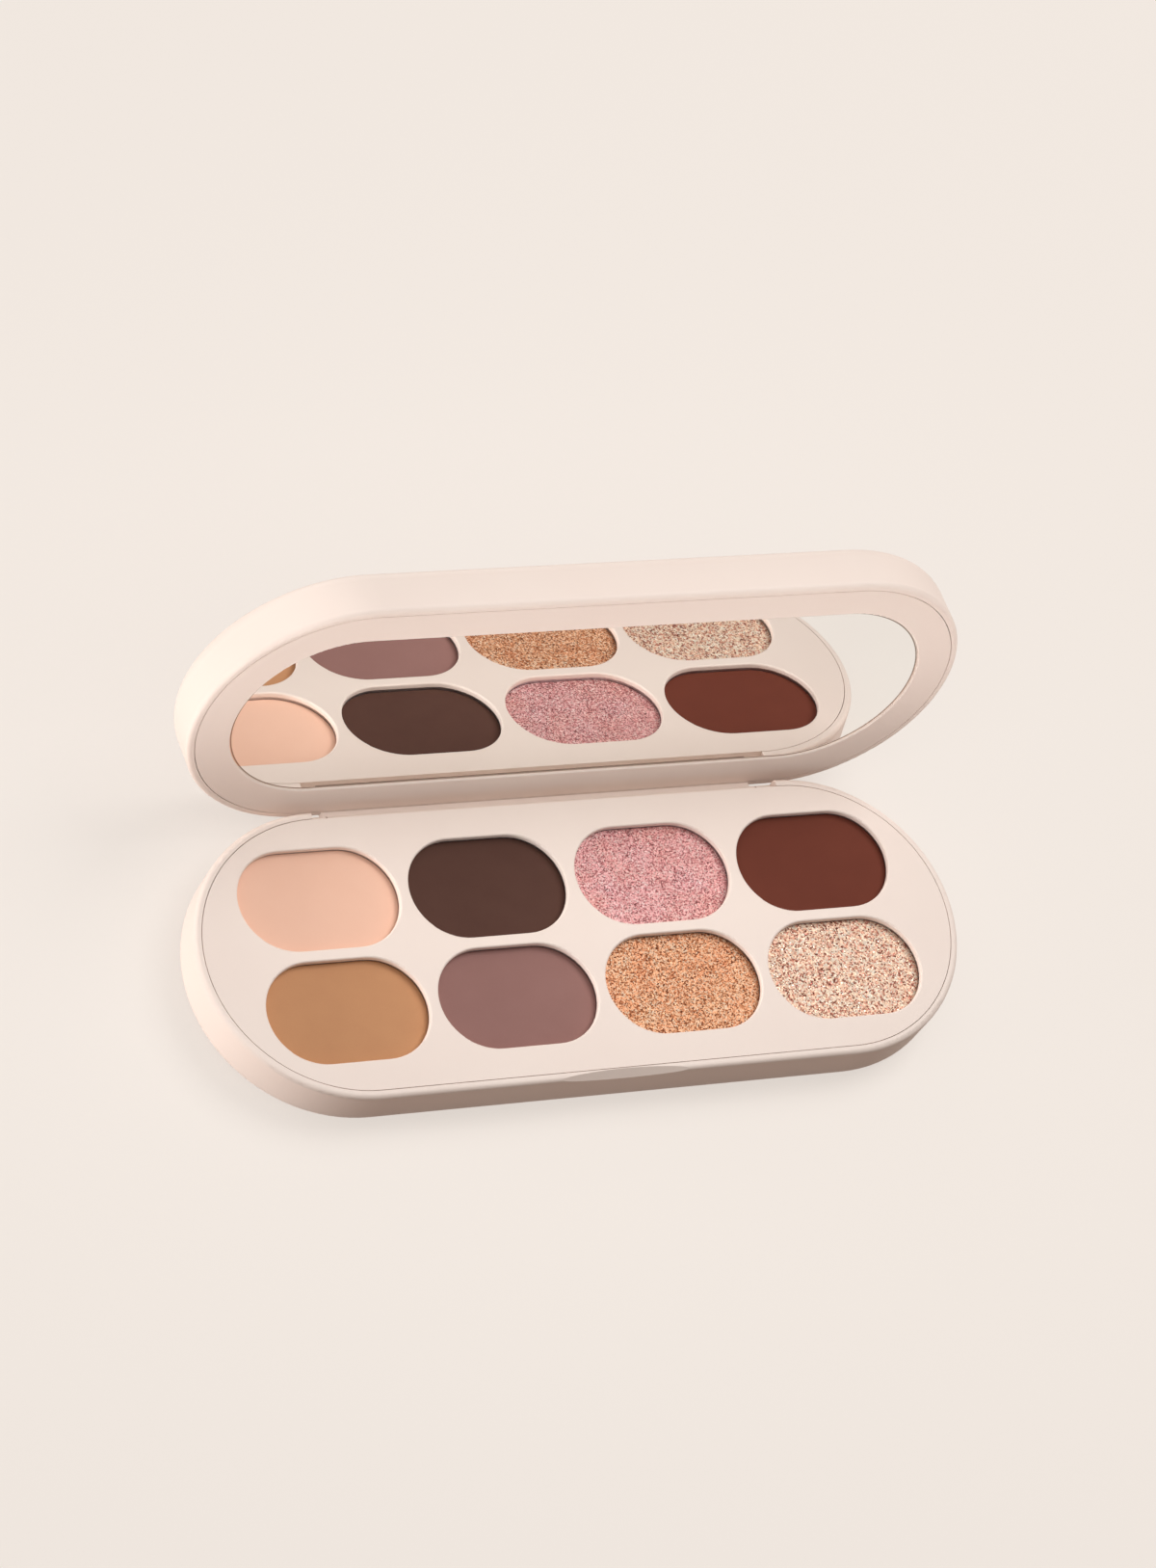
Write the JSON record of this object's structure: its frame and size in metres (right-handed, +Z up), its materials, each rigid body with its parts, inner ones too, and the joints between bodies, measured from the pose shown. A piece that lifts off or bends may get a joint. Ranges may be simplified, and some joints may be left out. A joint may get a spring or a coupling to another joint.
{
  "type": "eyeshadow palette",
  "caption": "Oblong hinged make-up palette with rounded ends, pressed powder pans behind an inset plate and a mirror in the lid.",
  "frame": {"origin": "centre of the base's flat underside", "axes": "+X along the case, +Y towards the hinge at the back, +Z up out of the pans; the lid stands open as pictured"},
  "size_m": [0.137, 0.0711, 0.0547],
  "materials": {
    "case_plastic": "matte cream moulded plastic",
    "adhesive": "white foam and glue",
    "magnet": "nickel plated",
    "steel": "drawn wire",
    "pan_metal": "pressed sheet",
    "mirror": "silvered glass",
    "powder_peach": "matte pressed powder",
    "powder_espresso": "matte pressed powder",
    "powder_rose_shimmer": "shimmer pressed powder",
    "powder_maroon": "matte pressed powder",
    "powder_tan": "matte pressed powder",
    "powder_taupe": "matte pressed powder",
    "powder_copper_shimmer": "shimmer pressed powder",
    "powder_champagne_glitter": "shimmer pressed powder"
  },
  "bodies": {
    "base": {"base_shell": "case_plastic", "pan_tray": "case_plastic", "pan_adhesive": "adhesive", "base_magnets": "magnet", "hinge_pin_left": "steel", "hinge_pin_right": "steel", "pan_peach": "pan_metal", "powder_peach": "powder_peach", "pan_espresso": "pan_metal", "powder_espresso": "powder_espresso", "pan_rose_shimmer": "pan_metal", "powder_rose_shimmer": "powder_rose_shimmer", "pan_maroon": "pan_metal", "powder_maroon": "powder_maroon", "pan_tan": "pan_metal", "powder_tan": "powder_tan", "pan_taupe": "pan_metal", "powder_taupe": "powder_taupe", "pan_copper_shimmer": "pan_metal", "powder_copper_shimmer": "powder_copper_shimmer", "pan_champagne_glitter": "pan_metal", "powder_champagne_glitter": "powder_champagne_glitter"},
    "lid": {"lid_shell": "case_plastic", "mirror_frame": "case_plastic", "mirror_glass": "mirror", "mirror_tape": "adhesive", "lid_magnets": "magnet"}
  },
  "joints": [
    {"name": "lid_hinge", "type": "hinge", "parent": "base", "child": "lid", "pos_m": [0, 0.0243, 0.0064], "axis": [-1, 0, 0], "range_deg": [-101.2, 13.8]}
  ]
}
